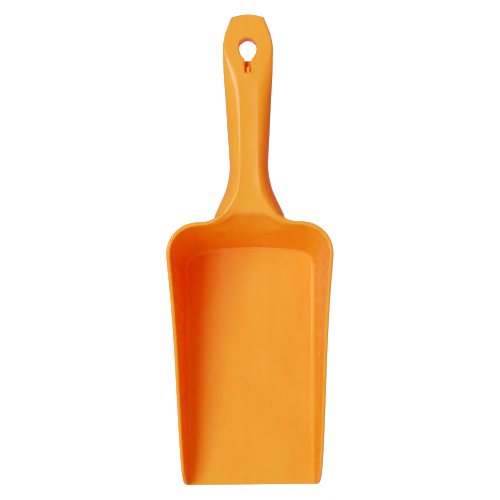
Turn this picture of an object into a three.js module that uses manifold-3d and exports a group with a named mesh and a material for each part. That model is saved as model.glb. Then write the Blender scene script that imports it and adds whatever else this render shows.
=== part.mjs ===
// Hand scoop of the one litre class, moulded in one piece with a hollow handle.
// Millimetres. +Z is up, +Y runs from the open lip to the handle tip, and the origin
// is under the middle of the whole scoop, on the plane that its floor rests on.

import * as THREE from 'three';
import { mergeVertices } from 'three/addons/utils/BufferGeometryUtils.js';
import Module from 'manifold-3d';

// ---------------------------------------------------------------- driving dimensions

const LENGTH = 310;
const LIP_Y = -LENGTH / 2;
const TIP_Y = LENGTH / 2;
const BOWL_HEIGHT = 80;
const FLOOR_THICKNESS = 2.6;
const WALL_AT_FLOOR = 2.5;
const WALL_AT_RIM = 2.8;

// Inside of the bowl at floor level, with its draft.
const FLOOR_HALF_WIDTH_BACK = 45.9;
const FLOOR_HALF_WIDTH_LIP = 44;
const FLOOR_BACK_Y = 11.3;
const BACK_WALL_RUN = 14.9;
const SIDE_DRAFT = Math.tan(THREE.MathUtils.degToRad(3));
const CORNER_RADIUS_FLOOR = 13;
const CORNER_RADIUS_RIM = 17.4;
const BACK_BOW_FLOOR = THREE.MathUtils.degToRad(8);
const BACK_BOW_RIM = THREE.MathUtils.degToRad(3);
const INNER_FILLET = 3.2;
const OUTER_FILLET = 3.6;
const LIP_CORNER_RADIUS = 2.4;

// Side view of the rim, from the lip up to the level back part.
const RIM_STATIONS = [
  { y: -155, z: 2.6 },
  { y: -152, z: 12 },
  { y: -148, z: 20 },
  { y: -139, z: 27.5 },
  { y: -124, z: 34 },
  { y: -89, z: 43.5 },
  { y: -55, z: 52 },
  { y: -22, z: 64.5 },
  { y: -4, z: 74.2 },
  { y: 4, z: 78.4 },
  { y: 10, z: 80 },
  { y: 14, z: 80 },
];
const RIM_STEP = 3;

// Handle sections along Y. halfWidth is at the widest point, drop below the ridges.
// ridgeHalf is half the distance between the two ridges on top, top is their height,
// bottom is the underside, and dish is how deep the land between the ridges sinks.
const HANDLE_STATIONS = [
  { y: 14, halfWidth: 26, ridgeHalf: 25.2, top: 80, drop: 8, bottom: 49, dish: 3.2 },
  { y: 27, halfWidth: 29, ridgeHalf: 24.6, top: 80, drop: 8, bottom: 53, dish: 3 },
  { y: 29.6, halfWidth: 25.2, ridgeHalf: 22, top: 80.2, drop: 9.2, bottom: 55.6, dish: 2.6 },
  { y: 33, halfWidth: 22, ridgeHalf: 15.8, top: 80.6, drop: 10.5, bottom: 58.6, dish: 2.2 },
  { y: 38, halfWidth: 19.3, ridgeHalf: 11.2, top: 81.3, drop: 12, bottom: 61.8, dish: 1.7 },
  { y: 45, halfWidth: 16.3, ridgeHalf: 7.9, top: 82.2, drop: 12, bottom: 64.5, dish: 1 },
  { y: 53, halfWidth: 13.6, ridgeHalf: 6.1, top: 83.2, drop: 12, bottom: 66, dish: 0.6 },
  { y: 62, halfWidth: 12.4, ridgeHalf: 5.4, top: 84.3, drop: 12, bottom: 67, dish: 0.4 },
  { y: 85, halfWidth: 13.5, ridgeHalf: 5.3, top: 87.2, drop: 11.5, bottom: 69, dish: 0.3 },
  { y: 105, halfWidth: 14.5, ridgeHalf: 5.4, top: 89.7, drop: 9, bottom: 71.8, dish: 0.3 },
  { y: 118, halfWidth: 15.3, ridgeHalf: 6.9, top: 91, drop: 5.6, bottom: 74.8, dish: 0.1 },
  { y: 124, halfWidth: 15.5, ridgeHalf: 9.8, top: 91, drop: 4, bottom: 76.2, dish: 0 },
  { y: 129, halfWidth: 15.6, ridgeHalf: 12.4, top: 91, drop: 3, bottom: 77.3, dish: 0 },
  { y: 134, halfWidth: 15.7, ridgeHalf: 14, top: 91, drop: 2.2, bottom: 78.2, dish: 0 },
  { y: 139, halfWidth: 15.1, ridgeHalf: 13.4, top: 91, drop: 2.1, bottom: 79, dish: 0 },
  { y: 144, halfWidth: 13.9, ridgeHalf: 12.2, top: 91, drop: 2, bottom: 79.7, dish: 0 },
  { y: 149, halfWidth: 11.9, ridgeHalf: 10.2, top: 91, drop: 2, bottom: 80.2, dish: 0 },
  { y: 158, halfWidth: 8.5, ridgeHalf: 6.8, top: 91, drop: 2, bottom: 81, dish: 0 },
];
const HANDLE_RING_STEP = 4;
const FLANK_EXPONENT = 1.6;
const UNDERSIDE_EXPONENT = 2.6;
const TIP_ARC_RADIUS = 25.5;

// Where the land between the ridges rolls over, and runs down a straight throat into
// the back wall.
const ROLL_RADIUS = 7;
const ROLL_START_Y = 38.2;
const THROAT_SLOPE = THREE.MathUtils.degToRad(66);
const THROAT_END_Y = 19;
const THROAT_CLEARANCE = 0.15;

// Gas channel: the long hollow inside the handle, open to the notch by a bore.
const CHANNEL_START_Y = 40;
const CHANNEL_END_Y = 108;
const CHANNEL_WALL = 4.2;
const CHANNEL_END_SIZE = 0.45;
const BORE_RADIUS = 1.5;
const BORE_Z = 86.2;

// Hanging hole, an egg with its narrow end to the bowl, and the notch below it.
const HOLE_HALF_WIDTH = 5.3;
const HOLE_CENTRE_Y = 135.6;
const HOLE_HEAD = 4.9;
const HOLE_TAIL = 8.7;
const HOLE_CHAMFER = 0.8;
const NOTCH_WIDTH = 4;
const NOTCH_START_Y = 119.2;

// Plug in the mouth of the gas channel.
const FIT_GAP = 0.3;
const PLUG_HEAD_RADIUS = 1.6;
const PLUG_HEAD_LENGTH = 4;
const PLUG_SHANK_LENGTH = 6;
const PLUG_DOME = 0.7;
const NOTCH_FLOOR_Z = BORE_Z - PLUG_HEAD_RADIUS - FIT_GAP;

// Cutting bodies run past the surfaces that they cut, and past each other, by this much.
const OVERRUN = 12;
const SMALL_OVERRUN = 1;

// Facets on round stretches: bowl corners, floor edges, and full rounds.
const CORNER_STEPS = 8;
const FILLET_STEPS = 4;
const ROUND_STEPS = 24;

const ORANGE = 0xf08a1c;

// ---------------------------------------------------------------- solids and joining

const wasm = await Module();
wasm.setup();

// A three.js geometry as a solid that can be joined and cut.
function toSolid(geometry) {
  const bare = geometry.clone();
  bare.deleteAttribute('normal');
  bare.deleteAttribute('uv');
  const merged = mergeVertices(bare, 1e-5);
  return new wasm.Manifold(
    new wasm.Mesh({
      numProp: 3,
      vertProperties: new Float32Array(merged.attributes.position.array),
      triVerts: new Uint32Array(merged.index.array),
    }),
  );
}

// The geometry of a finished solid.
function toGeometry(solid) {
  const mesh = solid.getMesh();
  const geometry = new THREE.BufferGeometry();
  geometry.setAttribute('position', new THREE.BufferAttribute(mesh.vertProperties, 3));
  geometry.setIndex(new THREE.BufferAttribute(mesh.triVerts, 1));
  geometry.computeVertexNormals();
  return geometry;
}

// A closed solid through rings that all have the same number of points. flatten gives a
// point's place in the ring's plane, where every ring runs counter-clockwise as seen
// from the far end.
function loft(rings, flatten) {
  const count = rings[0].length;
  const index = [];
  for (let r = 0; r < rings.length - 1; r += 1) {
    for (let k = 0; k < count; k += 1) {
      const here = r * count + k;
      const beside = r * count + ((k + 1) % count);
      index.push(here, beside, beside + count);
      index.push(here, beside + count, here + count);
    }
  }
  const last = (rings.length - 1) * count;
  const endCap = THREE.ShapeUtils.triangulateShape(rings.at(-1).map(flatten), []);
  endCap.forEach(([a, b, c]) => index.push(last + a, last + b, last + c));
  const startCap = THREE.ShapeUtils.triangulateShape(rings[0].map(flatten), []);
  startCap.forEach(([a, b, c]) => index.push(a, c, b));
  const geometry = new THREE.BufferGeometry().setFromPoints(rings.flat());
  geometry.setIndex(index);
  return toSolid(geometry);
}

const seenFromAbove = (point) => new THREE.Vector2(point.x, point.y);
const seenFromTip = (point) => new THREE.Vector2(point.z, point.x);

// Values between stations, smooth and without overshoot (monotone cubic).
function between(xs, values, x) {
  const slopes = xs.slice(1).map((end, i) => (values[i + 1] - values[i]) / (end - xs[i]));
  const tangent = (i) => {
    if (i === 0) return slopes[0];
    if (i === slopes.length) return slopes[i - 1];
    const before = slopes[i - 1];
    const after = slopes[i];
    return before * after <= 0 ? 0 : (2 * before * after) / (before + after);
  };
  const clamped = THREE.MathUtils.clamp(x, xs[0], xs.at(-1));
  const i = Math.min(xs.findLastIndex((start) => start <= clamped), slopes.length - 1);
  const step = xs[i + 1] - xs[i];
  const t = (clamped - xs[i]) / step;
  const rise = values[i + 1] - values[i];
  const curveIn = step * tangent(i) - rise;
  const curveOut = rise - step * tangent(i + 1);
  return values[i] + t * rise + t * (1 - t) * ((1 - t) * curveIn + t * curveOut);
}

// ---------------------------------------------------------------- bowl

// Plan outline of the bowl at height z: straight sides, rounded back corners and a
// slightly bowed back, with its open end at frontY. grow moves it outwards.
// Counter-clockwise as seen from above.
function bowlOutline(z, grow, frontY) {
  const rise = z / BOWL_HEIGHT;
  const spread = (z - FLOOR_THICKNESS) * SIDE_DRAFT + grow;
  const halfBack = FLOOR_HALF_WIDTH_BACK + spread;
  const halfLip = FLOOR_HALF_WIDTH_LIP + spread;
  const backY = FLOOR_BACK_Y + BACK_WALL_RUN * rise + grow;
  const radius = THREE.MathUtils.lerp(CORNER_RADIUS_FLOOR, CORNER_RADIUS_RIM, rise) + grow;
  const bow = THREE.MathUtils.lerp(BACK_BOW_FLOOR, BACK_BOW_RIM, rise);

  const arcEndX = halfBack - radius + radius * Math.sin(bow);
  const arcEndY = backY - (arcEndX * Math.tan(bow)) / 2;
  const centreY = arcEndY - radius * Math.cos(bow);
  const crownY = arcEndY + arcEndX * Math.tan(bow);
  const quarter = Math.PI / 2;

  const corner = (x, y, r, from, to) => {
    return new THREE.EllipseCurve(x, y, r, r, from, to).getPoints(CORNER_STEPS);
  };
  const back = new THREE.QuadraticBezierCurve(
    new THREE.Vector2(arcEndX, arcEndY),
    new THREE.Vector2(0, crownY),
    new THREE.Vector2(-arcEndX, arcEndY),
  );
  const frontX = halfLip - LIP_CORNER_RADIUS;
  const frontCentreY = frontY + LIP_CORNER_RADIUS;
  const points = [
    ...corner(frontX, frontCentreY, LIP_CORNER_RADIUS, -quarter, 0),
    ...corner(halfBack - radius, centreY, radius, 0, quarter - bow),
    ...back.getPoints(CORNER_STEPS).slice(1, -1),
    ...corner(radius - halfBack, centreY, radius, quarter + bow, 2 * quarter),
    ...corner(-frontX, frontCentreY, LIP_CORNER_RADIUS, 2 * quarter, 3 * quarter),
  ];
  return points.map((point) => new THREE.Vector3(point.x, point.y, z));
}

// Rings of a bowl that starts at startZ with a rounded bottom edge and rises to topZ.
function bowlRings(startZ, topZ, fillet, wallAt, frontY) {
  const rings = [];
  for (let k = 0; k <= FILLET_STEPS; k += 1) {
    const angle = (k / FILLET_STEPS) * (Math.PI / 2);
    const z = startZ + fillet * (1 - Math.cos(angle));
    const inset = fillet * (1 - Math.sin(angle));
    rings.push(bowlOutline(z, wallAt(z) - inset, frontY));
  }
  rings.push(bowlOutline(topZ, wallAt(topZ), frontY));
  return rings;
}

function outerBowl() {
  const wallAt = (z) => THREE.MathUtils.lerp(WALL_AT_FLOOR, WALL_AT_RIM, z / BOWL_HEIGHT);
  const rings = bowlRings(0, BOWL_HEIGHT, OUTER_FILLET, wallAt, LIP_Y);
  return loft(rings, seenFromAbove);
}

function bowlCavity() {
  const frontY = LIP_Y - OVERRUN;
  const topZ = BOWL_HEIGHT + OVERRUN;
  const rings = bowlRings(FLOOR_THICKNESS, topZ, INNER_FILLET, () => 0, frontY);
  return loft(rings, seenFromAbove);
}

// Everything above the sloping rim, as a side view drawn out across the bowl.
function aboveRim() {
  const height = BOWL_HEIGHT + OVERRUN;
  const ys = RIM_STATIONS.map((station) => station.y);
  const zs = RIM_STATIONS.map((station) => station.z);
  const levelY = ys.at(-2);
  const steps = Math.round((levelY - LIP_Y) / RIM_STEP);
  const profile = new THREE.Shape();
  profile.moveTo(levelY, height);
  profile.lineTo(LIP_Y - OVERRUN, height);
  profile.lineTo(LIP_Y - OVERRUN, zs[0]);
  for (let k = 0; k <= steps; k += 1) {
    const y = THREE.MathUtils.lerp(LIP_Y, levelY, k / steps);
    profile.lineTo(y, between(ys, zs, y));
  }
  const halfWidth = FLOOR_HALF_WIDTH_BACK + OVERRUN;
  const slab = new THREE.ExtrudeGeometry(profile, { depth: 2 * halfWidth, bevelEnabled: false });
  const axes = new THREE.Matrix4().makeBasis(
    new THREE.Vector3(0, 1, 0),
    new THREE.Vector3(0, 0, 1),
    new THREE.Vector3(1, 0, 0),
  );
  slab.applyMatrix4(axes);
  slab.translate(-halfWidth, 0, 0);
  return toSolid(slab);
}

// ---------------------------------------------------------------- handle

const STATION_YS = HANDLE_STATIONS.map((station) => station.y);

function handleValue(name, y) {
  return between(STATION_YS, HANDLE_STATIONS.map((station) => station[name]), y);
}

// Half a section as [x, z], then its mirror image, as a ring at y.
function mirroredRing(half, y) {
  const left = half.slice(1, -1).reverse();
  return [
    ...half.map(([x, z]) => new THREE.Vector3(x, y, z)),
    ...left.map(([x, z]) => new THREE.Vector3(-x, y, z)),
  ];
}

// Section of the handle: a dished land between the ridges, flanks that fall away to the
// widest point, and a full round underside.
function handleRing(y) {
  const halfWidth = handleValue('halfWidth', y);
  const ridgeHalf = handleValue('ridgeHalf', y);
  const top = handleValue('top', y);
  const dish = handleValue('dish', y);
  const bottom = handleValue('bottom', y);
  const widestZ = top - handleValue('drop', y);
  const half = [];
  const landSteps = 3;
  for (let k = 0; k < landSteps; k += 1) {
    const across = k / landSteps;
    half.push([ridgeHalf * across, top - dish * (1 - across * across)]);
  }
  const flankSteps = 6;
  const flankPower = 2 / FLANK_EXPONENT;
  for (let k = 0; k < flankSteps; k += 1) {
    const angle = (k / flankSteps) * (Math.PI / 2);
    const x = ridgeHalf + (halfWidth - ridgeHalf) * Math.sin(angle) ** flankPower;
    half.push([x, widestZ + (top - widestZ) * Math.cos(angle) ** flankPower]);
  }
  half.push([halfWidth, widestZ]);
  const underSteps = 7;
  const underPower = 2 / UNDERSIDE_EXPONENT;
  for (let k = 1; k < underSteps; k += 1) {
    const angle = (k / underSteps) * (Math.PI / 2);
    const x = halfWidth * Math.cos(angle) ** underPower;
    half.push([x, widestZ - (widestZ - bottom) * Math.sin(angle) ** underPower]);
  }
  half.push([0, bottom]);
  return mirroredRing(half, y);
}

function handleBody() {
  const startY = STATION_YS[0];
  const endY = STATION_YS.at(-1);
  const steps = Math.round((endY - startY) / HANDLE_RING_STEP);
  const rings = [];
  for (let k = 0; k <= steps; k += 1) {
    rings.push(handleRing(startY + ((endY - startY) * k) / steps));
  }
  return loft(rings, seenFromTip).intersect(insideTipArc());
}

// Everything on the bowl's side of the shallow arc that ends the handle.
function insideTipArc() {
  const centreY = TIP_Y - TIP_ARC_RADIUS;
  const plan = new THREE.Shape();
  plan.moveTo(-TIP_ARC_RADIUS, 0);
  plan.lineTo(TIP_ARC_RADIUS, 0);
  plan.lineTo(TIP_ARC_RADIUS, centreY);
  plan.absarc(0, centreY, TIP_ARC_RADIUS, 0, Math.PI);
  const depth = BOWL_HEIGHT + 2 * OVERRUN;
  const settings = { depth, bevelEnabled: false, curveSegments: ROUND_STEPS };
  const block = new THREE.ExtrudeGeometry(plan, settings);
  return toSolid(block);
}

// Height of the middle of the throat: a round that leaves the land, then a straight
// slope that runs on into the bowl.
function throatZ(y) {
  const landZ = handleValue('top', ROLL_START_Y) - handleValue('dish', ROLL_START_Y);
  const slopeY = ROLL_START_Y - ROLL_RADIUS * Math.sin(THROAT_SLOPE);
  const roundY = Math.max(y, slopeY);
  const angle = Math.asin((ROLL_START_Y - roundY) / ROLL_RADIUS);
  const drop = ROLL_RADIUS * (1 - Math.cos(angle));
  return landZ - drop - (roundY - y) * Math.tan(THROAT_SLOPE);
}

// The throat, where the land of the handle turns down into the bowl. Its sections are
// hollow curves from ridge to ridge, cut out with everything above them.
function throat() {
  const rings = [];
  const steps = 14;
  const acrossSteps = 7;
  const reach = 1.2;
  for (let r = 0; r <= steps; r += 1) {
    const y = THREE.MathUtils.lerp(THROAT_END_Y, ROLL_START_Y, r / steps);
    const ridgeHalf = handleValue('ridgeHalf', y);
    const edgeZ = handleValue('top', y) + THROAT_CLEARANCE;
    const depth = edgeZ - throatZ(y);
    const aboveZ = edgeZ + BOWL_HEIGHT;
    const half = [[0, aboveZ], [ridgeHalf * reach, aboveZ]];
    for (let k = acrossSteps; k >= 0; k -= 1) {
      const across = (k / acrossSteps) * reach;
      half.push([ridgeHalf * across, edgeZ - depth * (1 - across * across)]);
    }
    rings.push(mirroredRing(half, y));
  }
  return loft(rings, seenFromTip);
}

// ---------------------------------------------------------------- hollows in the handle

// The gas channel follows the handle's section with an even wall. It narrows at both
// ends, and the far end rises to the bore.
function gasChannel() {
  const rings = [];
  const steps = 12;
  const around = 12;
  for (let k = 0; k <= steps; k += 1) {
    const along = k / steps;
    const y = THREE.MathUtils.lerp(CHANNEL_START_Y, CHANNEL_END_Y, along);
    const ceiling = handleValue('top', y) - handleValue('dish', y) - CHANNEL_WALL;
    const floor = handleValue('bottom', y) + CHANNEL_WALL;
    const size = k === 0 || k === steps ? CHANNEL_END_SIZE : 1;
    const halfHeight = ((ceiling - floor) / 2) * size;
    const halfWidth = (handleValue('halfWidth', y) - CHANNEL_WALL) * size;
    const toBore = THREE.MathUtils.smoothstep(along, 1 - 2 / steps, 1);
    const centreZ = THREE.MathUtils.lerp((ceiling + floor) / 2, BORE_Z, toBore);
    const ring = [];
    for (let j = 0; j < around; j += 1) {
      const angle = (j / around) * 2 * Math.PI;
      const z = centreZ + halfHeight * Math.cos(angle);
      ring.push(new THREE.Vector3(halfWidth * Math.sin(angle), y, z));
    }
    rings.push(ring);
  }
  return loft(rings, seenFromTip);
}

// Round bore from the gas channel to the notch, along Y.
function plugBore() {
  const startY = CHANNEL_END_Y - PLUG_SHANK_LENGTH;
  const endY = NOTCH_START_Y + SMALL_OVERRUN;
  const bore = new THREE.CylinderGeometry(BORE_RADIUS, BORE_RADIUS, endY - startY, ROUND_STEPS);
  bore.translate(0, (startY + endY) / 2, BORE_Z);
  return toSolid(bore);
}

// Egg-shaped outline at height z, counter-clockwise as seen from above.
function eggRing(z, grow) {
  const ring = [];
  for (let k = 0; k < ROUND_STEPS; k += 1) {
    const angle = (k / ROUND_STEPS) * 2 * Math.PI;
    const length = Math.sin(angle) > 0 ? HOLE_HEAD : HOLE_TAIL;
    const x = (HOLE_HALF_WIDTH + grow) * Math.cos(angle);
    const y = HOLE_CENTRE_Y + (length + grow) * Math.sin(angle);
    ring.push(new THREE.Vector3(x, y, z));
  }
  return ring;
}

function hangingHole() {
  const top = handleValue('top', HOLE_CENTRE_Y);
  const rings = [
    eggRing(top - 2 * OVERRUN, 0),
    eggRing(top - HOLE_CHAMFER, 0),
    eggRing(top, HOLE_CHAMFER),
    eggRing(top + OVERRUN, HOLE_CHAMFER),
  ];
  return loft(rings, seenFromAbove);
}

// Groove from the hole towards the bowl, with a round end.
function notch() {
  const radius = NOTCH_WIDTH / 2;
  const plan = new THREE.Shape();
  plan.moveTo(radius, HOLE_CENTRE_Y);
  plan.lineTo(-radius, HOLE_CENTRE_Y);
  plan.lineTo(-radius, NOTCH_START_Y + radius / 2);
  plan.quadraticCurveTo(-radius, NOTCH_START_Y, -radius / 2, NOTCH_START_Y);
  plan.lineTo(radius / 2, NOTCH_START_Y);
  plan.quadraticCurveTo(radius, NOTCH_START_Y, radius, NOTCH_START_Y + radius / 2);
  const settings = { depth: OVERRUN, bevelEnabled: false, curveSegments: FILLET_STEPS };
  const groove = new THREE.ExtrudeGeometry(plan, settings);
  groove.translate(0, 0, NOTCH_FLOOR_Z);
  return toSolid(groove);
}

// ---------------------------------------------------------------- the two pieces

function makeMoulding() {
  const solid = outerBowl()
    .add(handleBody())
    .subtract(bowlCavity())
    .subtract(aboveRim())
    .subtract(throat())
    .subtract(gasChannel())
    .subtract(hangingHole())
    .subtract(notch())
    .subtract(plugBore());
  const material = new THREE.MeshStandardMaterial({ color: ORANGE, roughness: 0.35, metalness: 0 });
  const mesh = new THREE.Mesh(toGeometry(solid), material);
  mesh.name = 'scoop_moulding';
  return mesh;
}

// A turned pin along Y: a shank in the bore and a domed head in the notch.
function makePlug() {
  const shankRadius = BORE_RADIUS - FIT_GAP;
  const headStart = NOTCH_START_Y + FIT_GAP;
  const headEnd = headStart + PLUG_HEAD_LENGTH;
  const profile = new THREE.Path();
  profile.moveTo(0, headStart - PLUG_SHANK_LENGTH);
  profile.lineTo(shankRadius, headStart - PLUG_SHANK_LENGTH);
  profile.lineTo(shankRadius, headStart);
  profile.lineTo(PLUG_HEAD_RADIUS, headStart);
  profile.lineTo(PLUG_HEAD_RADIUS, headEnd - PLUG_DOME);
  profile.quadraticCurveTo(PLUG_HEAD_RADIUS, headEnd, 0, headEnd);
  const material = new THREE.MeshStandardMaterial({ color: ORANGE, roughness: 0.35, metalness: 0 });
  const turned = new THREE.LatheGeometry(profile.getPoints(CORNER_STEPS), ROUND_STEPS);
  const mesh = new THREE.Mesh(turned, material);
  mesh.name = 'gas_channel_plug';
  mesh.position.set(0, 0, BORE_Z);
  return mesh;
}

const scoop = new THREE.Group();
scoop.add(makeMoulding());
scoop.add(makePlug());

export default scoop;
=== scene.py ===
"""Looks of a moulded hand scoop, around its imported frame.

Shapes are worked out in millimetres and turned into metres when a mesh is made.
+Y runs from the open lip to the handle tip, and +Z is up out of the bowl.
"""

import math
from collections import namedtuple

import bmesh
import bpy
import numpy as np
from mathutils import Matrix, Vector


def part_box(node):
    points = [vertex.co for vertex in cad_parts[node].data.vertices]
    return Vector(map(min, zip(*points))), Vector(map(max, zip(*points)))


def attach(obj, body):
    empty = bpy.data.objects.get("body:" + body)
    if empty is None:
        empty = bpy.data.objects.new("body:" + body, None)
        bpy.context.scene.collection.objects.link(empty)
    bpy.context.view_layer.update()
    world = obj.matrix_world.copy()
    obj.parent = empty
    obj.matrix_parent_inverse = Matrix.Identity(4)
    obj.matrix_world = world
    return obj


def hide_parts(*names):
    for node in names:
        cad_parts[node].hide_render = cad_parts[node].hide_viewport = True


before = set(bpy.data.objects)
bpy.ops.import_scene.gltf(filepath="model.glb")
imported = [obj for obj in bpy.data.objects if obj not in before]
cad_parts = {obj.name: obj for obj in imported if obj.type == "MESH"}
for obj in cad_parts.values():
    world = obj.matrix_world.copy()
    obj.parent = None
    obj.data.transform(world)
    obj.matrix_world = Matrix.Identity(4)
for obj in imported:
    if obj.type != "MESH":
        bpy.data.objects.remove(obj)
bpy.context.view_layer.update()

MM = 0.001

# ------------------------------------------------------------------ sizes, in mm

MOULDING_LOW, MOULDING_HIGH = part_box("scoop_moulding")
LIP_Y = MOULDING_LOW[1] / MM
TIP_Y = MOULDING_HIGH[1] / MM
TAB_TOP = MOULDING_HIGH[2] / MM

BOWL_HEIGHT = 80
FLOOR_THICKNESS = 2.6
WALL_AT_FLOOR = 2.5
WALL_AT_RIM = 2.8
EDGE_ROUND = 1.3
FLOOR_HALF_WIDTH_BACK = 45.9
FLOOR_HALF_WIDTH_LIP = 44
FLOOR_BACK_Y = 11.3
BACK_WALL_RUN = 14.9
SIDE_DRAFT = math.tan(math.radians(3))
CORNER_RADIUS_FLOOR = 13
CORNER_RADIUS_RIM = 17.4
BACK_BOW_FLOOR = math.radians(8)
BACK_BOW_RIM = math.radians(3)
INNER_FILLET = 3.2
OUTER_FILLET = 3.6

# Side view of the rim, from the lip up to the level back part: y, z.
RIM_LINE = [
    (-155, 1.3),
    (-152, 12),
    (-148, 20),
    (-139, 27.5),
    (-124, 34),
    (-89, 43.5),
    (-55, 52),
    (-22, 64.5),
    (-4, 74.2),
    (4, 78.4),
    (10, 80),
    (14, 80),
]
# How many of its points make the steep front edge, and the y at which the front column of
# a side wall meets the rim.
RIM_FRONT_POINTS = 4
RIM_CORNER_Y = -147

# Sections of the handle, by their place along Y: half width at the widest point, half the
# distance between the ridges, height of the ridges, how far below them the widest point
# is, height of the underside, and how deep the land between the ridges sinks.
Section = namedtuple("Section", "y half_width ridge_half top drop bottom dish")
HANDLE = [
    Section(27, 29, 24.6, 80, 8, 53, 3),
    Section(33, 22, 15.8, 80.6, 10.5, 58.6, 2.2),
    Section(38, 19.3, 11.2, 81.3, 12, 61.8, 1.7),
    Section(45, 16.3, 7.9, 82.2, 12, 64.5, 1),
    Section(53, 13.6, 6.1, 83.2, 12, 66, 0.6),
    Section(62, 12.4, 5.4, 84.3, 12, 67, 0.4),
    Section(85, 13.5, 5.3, 87.2, 11.5, 69, 0.3),
    Section(105, 14.5, 5.4, 89.7, 9, 71.8, 0.3),
    Section(118, 15.3, 6.9, TAB_TOP, 5.6, 74.8, 0.1),
    Section(124, 15.5, 9.8, TAB_TOP, 4, 76.2, 0),
    Section(129, 15.6, 12.4, TAB_TOP, 3, 77.3, 0),
    Section(134, 15.7, 14, TAB_TOP, 2.2, 78.2, 0),
    Section(139, 15.1, 13.4, TAB_TOP, 2.1, 79, 0),
    Section(144, 13.9, 12.2, TAB_TOP, 2, 79.7, 0),
    Section(149, 11.9, 10.2, TAB_TOP, 2, 80.2, 0),
    Section(158, 8.5, 6.8, TAB_TOP, 2, 81, 0),
]
UNDERSIDE_EXPONENT = 2.6
FLANK_YS = [38, 62, 90, 118, 134]
FLANK_EXPONENTS = [1.5, 1.5, 1.6, 1.9, 2]
TIP_ARC_RADIUS = 25.5

# The throat, where the land turns down into the back wall: the upper end of its straight
# slope, its half width, and how softly it meets the wall.
THROAT_SLOPE = math.radians(66)
THROAT_TOP_Y = 31.8
THROAT_TOP_Z = 74.7
THROAT_HALF_WIDTH = 24.6
THROAT_SIDE_LIMIT = 0.98
THROAT_BLEND = 2.5

HOLE_HALF_WIDTH = 5.3
HOLE_CENTRE_Y = 135.6
HOLE_HEAD = 4.9
HOLE_TAIL = 8.7
# The eased edges of the hole and the notch on top, and of the hole below: how far each
# row spreads outwards, and how far under the tab's top or above its underside it is.
HOLE_EDGE = [(0.85, 0), (0.62, 0.14), (0.12, 0.75), (0, 1.6)]
HOLE_EDGE_BELOW = [(0, 0.9), (0.12, 0.2), (0.4, 0)]
NOTCH_START_Y = 119.2
NOTCH_HALF_WIDTH = 2
NOTCH_END_SHARE = 0.8
NOTCH_FLOOR_Z = 84.3

# ------------------------------------------------------------------ mesh divisions

SIDE_STEPS = 28
FRONT_COLUMNS = 5
CORNER_STEPS = 6
BACK_STEPS = 16
NECK_FIRST = 2
NECK_LAST = BACK_STEPS - NECK_FIRST
LAND_STEPS = NECK_LAST - NECK_FIRST
FILLET_ROWS = 3
# Heights of the rows of points above the fillet, as shares of the way to the rim.
INNER_ROWS = [0, 0.13, 0.26, 0.39, 0.52, 0.65, 0.77, 0.882, 0.942, 1]
OUTER_ROWS = [0, 0.21, 0.42, 0.636, 0.70, 0.76, 0.82, 0.88, 0.94, 1]
NECK_ROW_INSIDE = FILLET_ROWS + 7
NECK_ROW_OUTSIDE = FILLET_ROWS + 3
TOP_ROW = FILLET_ROWS + len(INNER_ROWS) - 1
EDGE_STEPS = 4
FIT_ROUNDS = 4
SMOOTH_LEVELS = 2


def lerp(a, b, t):
    return a + (b - a) * t


def between(xs, values, x):
    """Values between stations, smooth and without overshoot (monotone cubic)."""
    x = min(max(x, xs[0]), xs[-1])
    slopes = [(b - a) / (d - c) for a, b, c, d in zip(values, values[1:], xs, xs[1:])]

    def tangent(i):
        if i == 0:
            return slopes[0]
        if i == len(slopes):
            return slopes[-1]
        before, after = slopes[i - 1], slopes[i]
        return 0 if before * after <= 0 else 2 * before * after / (before + after)

    i = max(k for k in range(len(slopes)) if xs[k] <= x)
    step = xs[i + 1] - xs[i]
    t = (x - xs[i]) / step
    rise = values[i + 1] - values[i]
    curve_in = step * tangent(i) - rise
    curve_out = rise - step * tangent(i + 1)
    return values[i] + t * rise + t * (1 - t) * ((1 - t) * curve_in + t * curve_out)


# ------------------------------------------------------------------ cage

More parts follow.
